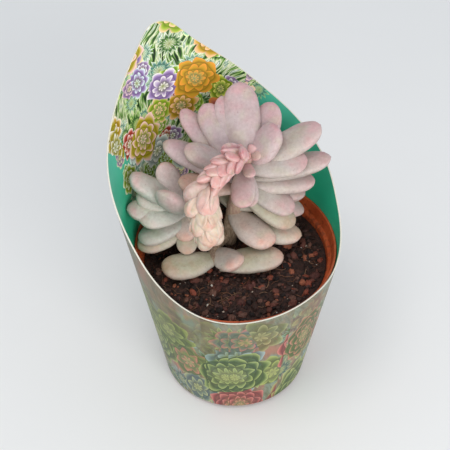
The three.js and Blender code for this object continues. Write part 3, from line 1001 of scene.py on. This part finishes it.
def leaf_tint(colours, flush, place, turn, spot, drift):
    """Colour at a place along a leaf and a turn about it: flushed at the tip, with painted shade on its
    underside and near its root.
    """
    body, tip = colours
    blotch = 0.12 * noise.noise(spot * 0.3 + drift)
    patch = 0.5 * smoothstep(0.05, 0.5, noise.noise(spot * 0.2 - drift)) * place
    green = 0.4 * smoothstep(0.1, 0.5, noise.noise(spot * 0.18 + drift * 2))
    warm = flush * smoothstep(0.6, 1.02, place + blotch) + patch
    rim = 0.3 * abs(cos(turn)) ** 8
    root = 0.25 * (1 - smoothstep(0.05, 0.4, place))
    tint = mixed(mixed(body, body * ROOT_TINGE, root), tip, min(1, warm))
    tint = mixed(mixed(tint, PALE_GREEN, green), PALE_RIM, rim)
    # Painted shade: the underside of the leaf is darkened, which deepens the gaps where leaves lie over one
    # another.
    under = 0.22 * smoothstep(0.2, -0.8, sin(turn))
    # Painted shade: the leaf is darker near its root, in the creases where the leaves crowd together.
    deep = 0.3 * (1 - smoothstep(0, 0.35, place))
    return tint * (1 - under) * (1 - deep)


def add_leaf(skin, length, width, shape, pose, colours, seed, rings=26, sides=26, relief=0.35):
    """A plump leaf along its pose's first axis, with its upper face towards the third."""
    start, along, across, up = pose
    draw = np.random.default_rng(seed)
    bend = draw.uniform(-0.05, 0.05)
    twist = radians(draw.uniform(-12, 12))
    folds = draw.uniform(0, 2 * pi)
    flush = draw.uniform(0.45, 0.95)
    body, tip = colours
    body = body * draw.uniform(0.93, 1.07) * draw.uniform(0.98, 1.02, 3)
    drift = Vector(draw.uniform(-99, 99, 3))
    places = leaf_places(rings, shape.bluntness)
    turns = 2 * pi * np.arange(sides) / sides
    points = [start]
    tints = [body]
    for place in places:
        breadth = leaf_breadth(place, shape)
        middle = shape.curl * length * place * place
        angle = twist * place
        for turn in turns:
            share = LEAF_UPPER_SHARE if sin(turn) > 0 else 1 - LEAF_UPPER_SHARE
            full = breadth * (1 + 0.03 * cos(5 * turn + folds) * (1 - place ** 4))
            side = width / 2 * full * cos(turn)
            rise = width * shape.thickness * share * full * sin(turn)
            side, rise = side * cos(angle) - rise * sin(angle), side * sin(angle) + rise * cos(angle)
            side += bend * length * place * place
            point = start + along * length * place + across * side + up * (rise + middle)
            spot = Vector(point)
            swell = relief * (noise.noise(spot * 0.16 + drift) + 0.35 * noise.noise(spot * 0.4 + drift))
            outward = unit(across * cos(turn) * 0.7 + up * sin(turn))
            points.append(point + outward * swell * min(1, 3 * breadth))
            tints.append(leaf_tint((body, tip), flush, place, turn, spot, drift))
    overrun = 0.35
    points.append(start + along * (length + overrun) + across * bend * length + up * shape.curl * length)
    tints.append(mixed(body, tip, flush) * 0.92)
    skin.add(points, capped_rings(len(places), sides), np.array(tints))


def leaf_pose(start, along):
    across = unit(np.array([-along[1], along[0], 0]))
    return start, along, across, np.cross(along, across)


def add_shoot(skin, stem, stem_radius, leaves, seed):
    line = smooth_line(stem)
    for index, (height, turn, lift, length, width, tone) in enumerate(leaves):
        inset = stem_radius * max(0, sin(radians(lift)))
        start = line.at_height(height) + direction(turn, 0) * inset
        pose = leaf_pose(start, direction(turn, lift))
        add_leaf(skin, length, width, LEAF_SHAPE, pose, map(linear, TONES[tone]), seed + index)


def add_stem(skin, stem, radius, leaves):
    """A stem with a low swelling where each leaf joins it. One without leaves of its own stays brown."""
    line = smooth_line(stem)
    shares = np.linspace(0, 1, 70)
    centres = np.array([line.at(share) for share in shares])
    radii = np.full(len(shares), radius * 0.94)
    for height, *_ in leaves:
        radii += 0.35 * np.exp(-((centres[:, 2] - height) / 1.3) ** 2)
    radii *= 1 - 0.5 * smoothstep(0.8, 1, shares)
    blush = 1 if leaves else 0.2
    young = smoothstep(0.3, 1, shares)[:, None] * blush
    tints = linear("#7d6a54") * (1 - young) + linear("#cf9f9c") * young
    skin.tube(centres, np.minimum(radii, radius * 1.12), 28, tints)


# Flower

def splayed_pose(line, share, turn, splay):
    """Pose of a bract or bud that leans out from a line by a splay, at a turn about the line."""
    along = line.heading(share)
    across = unit(np.cross(along, [0, 0, 1]))
    over = np.cross(across, along)
    outward = across * cos(radians(turn)) + over * sin(radians(turn))
    heading = unit(along * cos(radians(splay)) + outward * sin(radians(splay)))
    side = unit(np.cross(outward, heading))
    return line.at(share), heading, side, np.cross(heading, side)


def make_stalk(material):
    """The stalk, under a close coat of small pointed bracts."""
    line = smooth_line(FLOWER_LINE).stretch(0, BUDS_BEGIN)
    skin = Skin()
    steps = 60
    centres = [line.at(share) for share in np.linspace(0.01, 0.99, steps)]
    skin.tube(centres, np.linspace(STALK_RADIUS, STALK_RADIUS * 0.85, steps), 20, linear("#cc9690"))
    rosy = ("#d6a0a2", "#ca8588")
    peachy = ("#e4b2a6", "#d99990")
    for index in range(SCALE_COUNT):
        share = index / (SCALE_COUNT - 1)
        colours = [mixed(linear(a), linear(b), share) for a, b in zip(rosy, peachy)]
        pose = splayed_pose(line, mixed(*SCALE_SPAN, share), index * GOLDEN_ANGLE, SCALE_SPLAY)
        length = SCALE_LENGTH * (1 - LAST_SCALE_LENGTH_LOSS * share)
        add_leaf(skin, length, SCALE_WIDTH, BRACT_SHAPE, pose, colours, 300 + index, 18, 18, 0.3)
    skin.piece("stalk_and_bracts", material, "flower_stalk", "stalk_and_bracts")


def sepal_pose(bud_pose, turn, length):
    """Pose of a sepal pressed to a bud, at a turn about it."""
    start, heading, side, up = bud_pose
    outward = side * cos(turn) + up * sin(turn)
    root = start + heading * length * 0.08 + outward * BUD_WIDTH * 0.2
    ahead = unit(heading + outward * 0.08)
    across = unit(np.cross(outward, ahead))
    return root, ahead, across, np.cross(ahead, across)


def make_buds(material):
    """Buds in a nodding cluster. Each has a swollen body and pressed sepals with free tips."""
    whole = smooth_line(FLOWER_LINE)
    line = whole.stretch(BUDS_BEGIN + CLEARANCE / whole.length, 1)
    draw = np.random.default_rng(31)
    skin = Skin()
    steps = 30
    centres = [line.at(share) for share in np.linspace(0.01, 0.97, steps)]
    skin.tube(centres, np.linspace(BUD_STEM_RADIUS, 1.2, steps), 16, linear("#dfa898"))
    cream = ("#d8c2a8", "#d39e8a")
    pink = ("#dcb3a5", "#d3998e")
    for index in range(BUD_COUNT):
        share = index / (BUD_COUNT - 1)
        splay = BUD_SPLAY * (1 - LAST_BUD_SPLAY_LOSS * share)
        length = BUD_LENGTH * (1 - LAST_BUD_LENGTH_LOSS * share)
        pose = splayed_pose(line, mixed(*BUD_SPAN, share), index * GOLDEN_ANGLE, splay)
        ripe = smoothstep(0, 0.35, share)
        colours = [mixed(linear(a), linear(b), ripe) for a, b in zip(pink, cream)]
        add_leaf(skin, length, BUD_WIDTH, BUD_SHAPE, pose, colours, 500 + index, 18, 16, 0.2)
        for sepal in range(SEPALS):
            at = sepal_pose(pose, radians(360 / SEPALS * sepal + 47 * index), length)
            reach = length * draw.uniform(0.7, 0.86)
            seed = 700 + 5 * index + sepal
            add_leaf(skin, reach, BUD_WIDTH * 0.7, SEPAL_SHAPE, at, colours, seed, 14, 12, 0.2)
    skin.piece("bud_cluster", material, "flower_buds", "buds")


# Stage, lights and camera

def aimed(obj, place, target):
    obj.location = Vector(place) * MM
    obj.rotation_euler = (Vector(target) - Vector(place)).to_track_quat("-Z", "Y").to_euler()
    return obj


def soft_light(name, place, width, power, colour):
    """A round area light, aimed at the middle of the object."""
    light = bpy.data.lights.new(name, "AREA")
    light.shape = "DISK"
    light.size = width * MM
    light.energy = power
    light.color = colour
    aimed(linked(name, light), place, (0, 5, 90))


def make_stage():
    half = 9000
    corners = [(-half, -half, 0), (half, -half, 0), (half, half, 0), (-half, half, 0)]
    floor = mesh_of("floor", corners, [(0, 1, 2, 3)])
    floor.materials.append(floor_paint())
    linked("floor", floor)
    world = bpy.data.worlds.new("studio")
    world.use_nodes = True
    sky = world.node_tree.nodes["Background"].inputs
    sky["Color"].default_value = (0.86, 0.92, 1.0, 1)
    sky["Strength"].default_value = 0.7
    bpy.context.scene.world = world
    soft_light("key", (-450, -50, 1200), 550, 2.8, (1.0, 0.97, 0.94))
    soft_light("fill", (-250, -1000, 500), 900, 7, (1.0, 0.97, 0.95))
    bpy.context.scene.view_settings.view_transform = "Standard"


def make_camera():
    """At the photograph's viewpoint, turned to the middle of the object."""
    camera = bpy.data.cameras.new("camera")
    camera.lens = 106
    camera.sensor_width = 36
    place = (-286.4, -369.9, 593.6)
    bpy.context.scene.camera = aimed(linked("camera", camera), place, (-1.4, 7.2, 99.7))


make_stage()
make_camera()

make_pot(pot_plastic())
card = [inner_print(), outer_print(), card_edge()]
make_sleeve(card)
make_seam([card[1]])

bits = soil_bits()
make_soil(damp_soil())
make_crumbs(bits)
make_fibres(bits)

leaf = waxy_leaf()
main_leaves = Skin()
add_shoot(main_leaves, MAIN_STEM, MAIN_STEM_RADIUS, MAIN_LEAVES, 100)
add_shoot(main_leaves, LOW_STEM, LOW_STEM_RADIUS, LOW_LEAVES, 160)
main_leaves.piece("main_leaves", leaf, "main_rosette", "main_leaves")
side_leaves = Skin()
add_shoot(side_leaves, SIDE_STEM, SIDE_STEM_RADIUS, SIDE_LEAVES, 200)
side_leaves.piece("side_leaves", leaf, "side_rosette", "side_leaves")

bark = bark_stem()
main_stems = Skin()
add_stem(main_stems, MAIN_STEM, MAIN_STEM_RADIUS, MAIN_LEAVES)
add_stem(main_stems, LOW_STEM, LOW_STEM_RADIUS, [])
main_stems.piece("main_stems", bark, None, "main_leaves")
side_stem = Skin()
add_stem(side_stem, SIDE_STEM, SIDE_STEM_RADIUS, SIDE_LEAVES)
side_stem.piece("side_stem", bark, None, "side_leaves")

flower = waxy_flower()
make_stalk(flower)
make_buds(flower)
